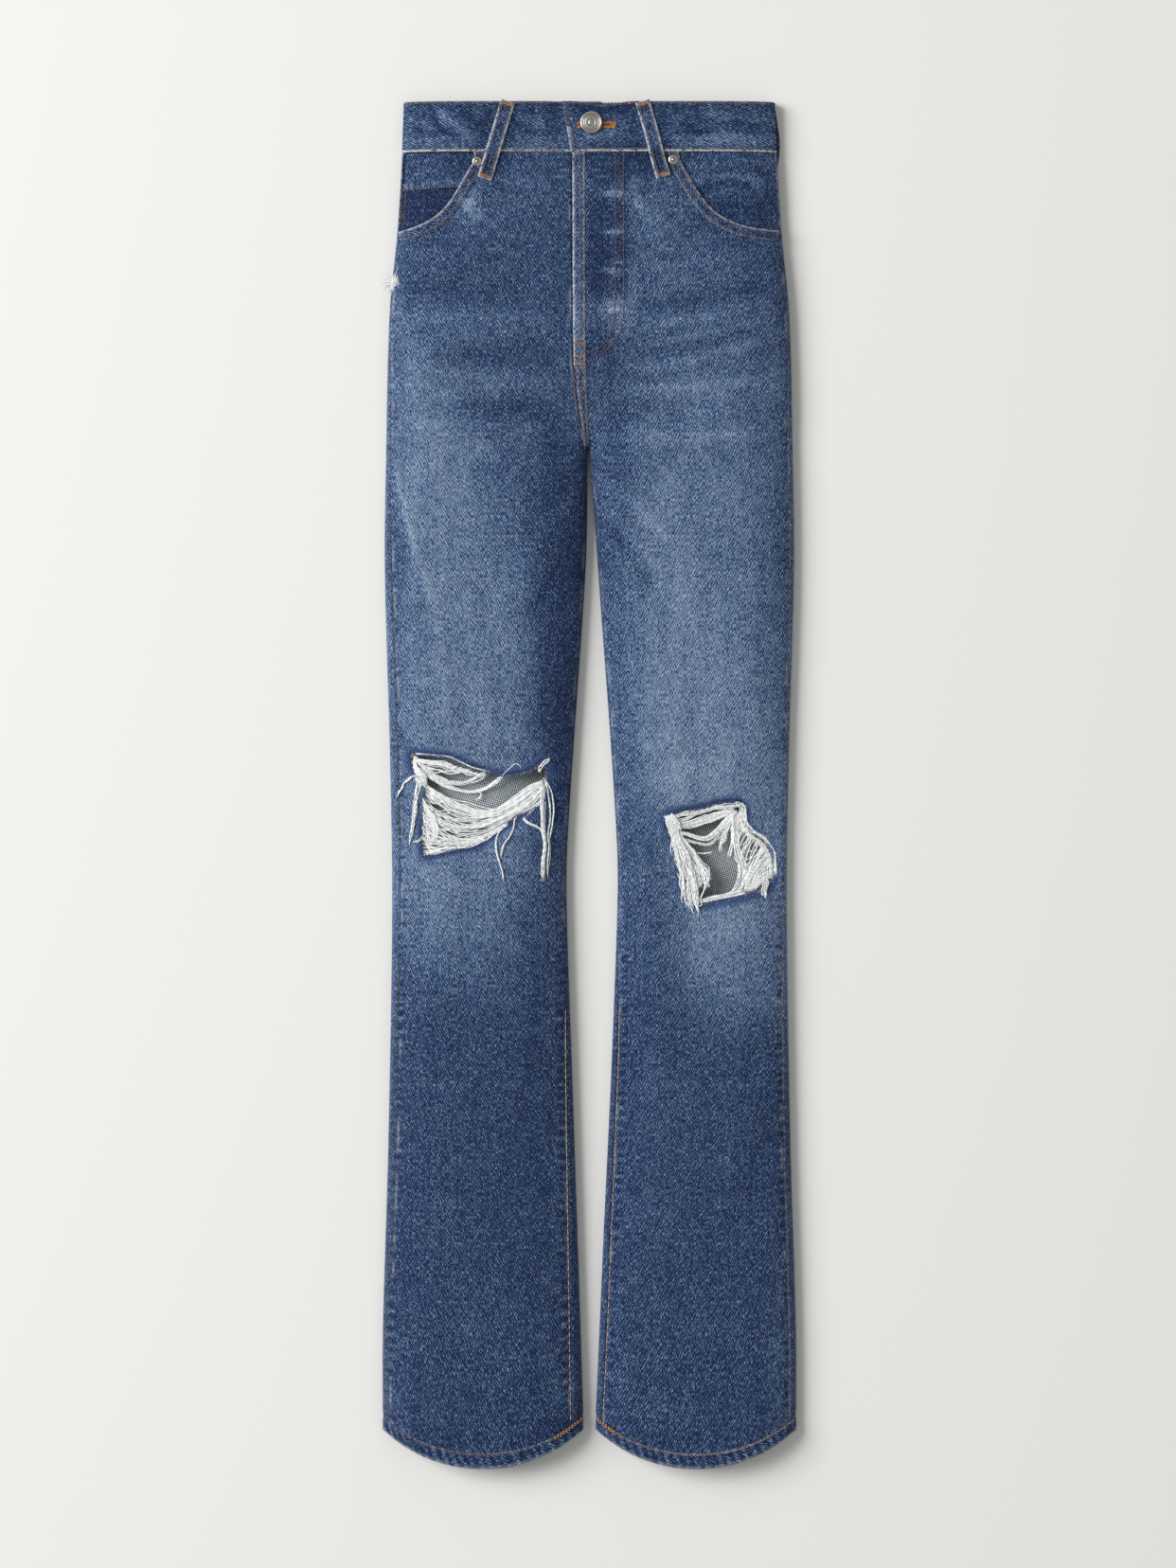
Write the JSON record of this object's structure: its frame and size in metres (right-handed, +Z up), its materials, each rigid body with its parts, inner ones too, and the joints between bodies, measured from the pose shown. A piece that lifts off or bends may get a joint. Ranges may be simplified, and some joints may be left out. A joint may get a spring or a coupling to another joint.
{
  "type": "ripped jeans",
  "caption": "Worn straight-leg blue jeans laid flat on their back, with frayed rips at both knees, a metal button and rivets, and orange and brown topstitching.",
  "frame": {"origin": "on the surface that the jeans lie on, under the middle of their outline", "axes": "+X across the garment towards the wearer's left leg, +Y along it towards the waist, +Z up out of the fronts"},
  "size_m": [0.3498, 1.1556, 0.0212],
  "materials": {
    "denim": "washed indigo twill, faded at thighs and knees",
    "denim_dark": "unfaded indigo twill",
    "metal": "antique nickel plate, rubbed bright on its rims"
  },
  "bodies": {
    "root": {"front_right": "denim", "front_left": "denim", "pocket_facing_right": "denim_dark", "pocket_facing_left": "denim_dark", "coin_pocket": "denim_dark", "fly_extension": "denim_dark", "back_right": "denim", "back_left": "denim", "yoke_right": "denim", "yoke_left": "denim", "back_pocket_right": "denim", "back_pocket_left": "denim", "waistband": "denim", "belt_loop_front_right": "denim", "belt_loop_front_left": "denim", "belt_loop_back_right": "denim", "belt_loop_back_centre": "denim", "belt_loop_back_left": "denim", "button": "metal", "rivet_right": "metal", "rivet_left": "metal"}
  },
  "joints": []
}
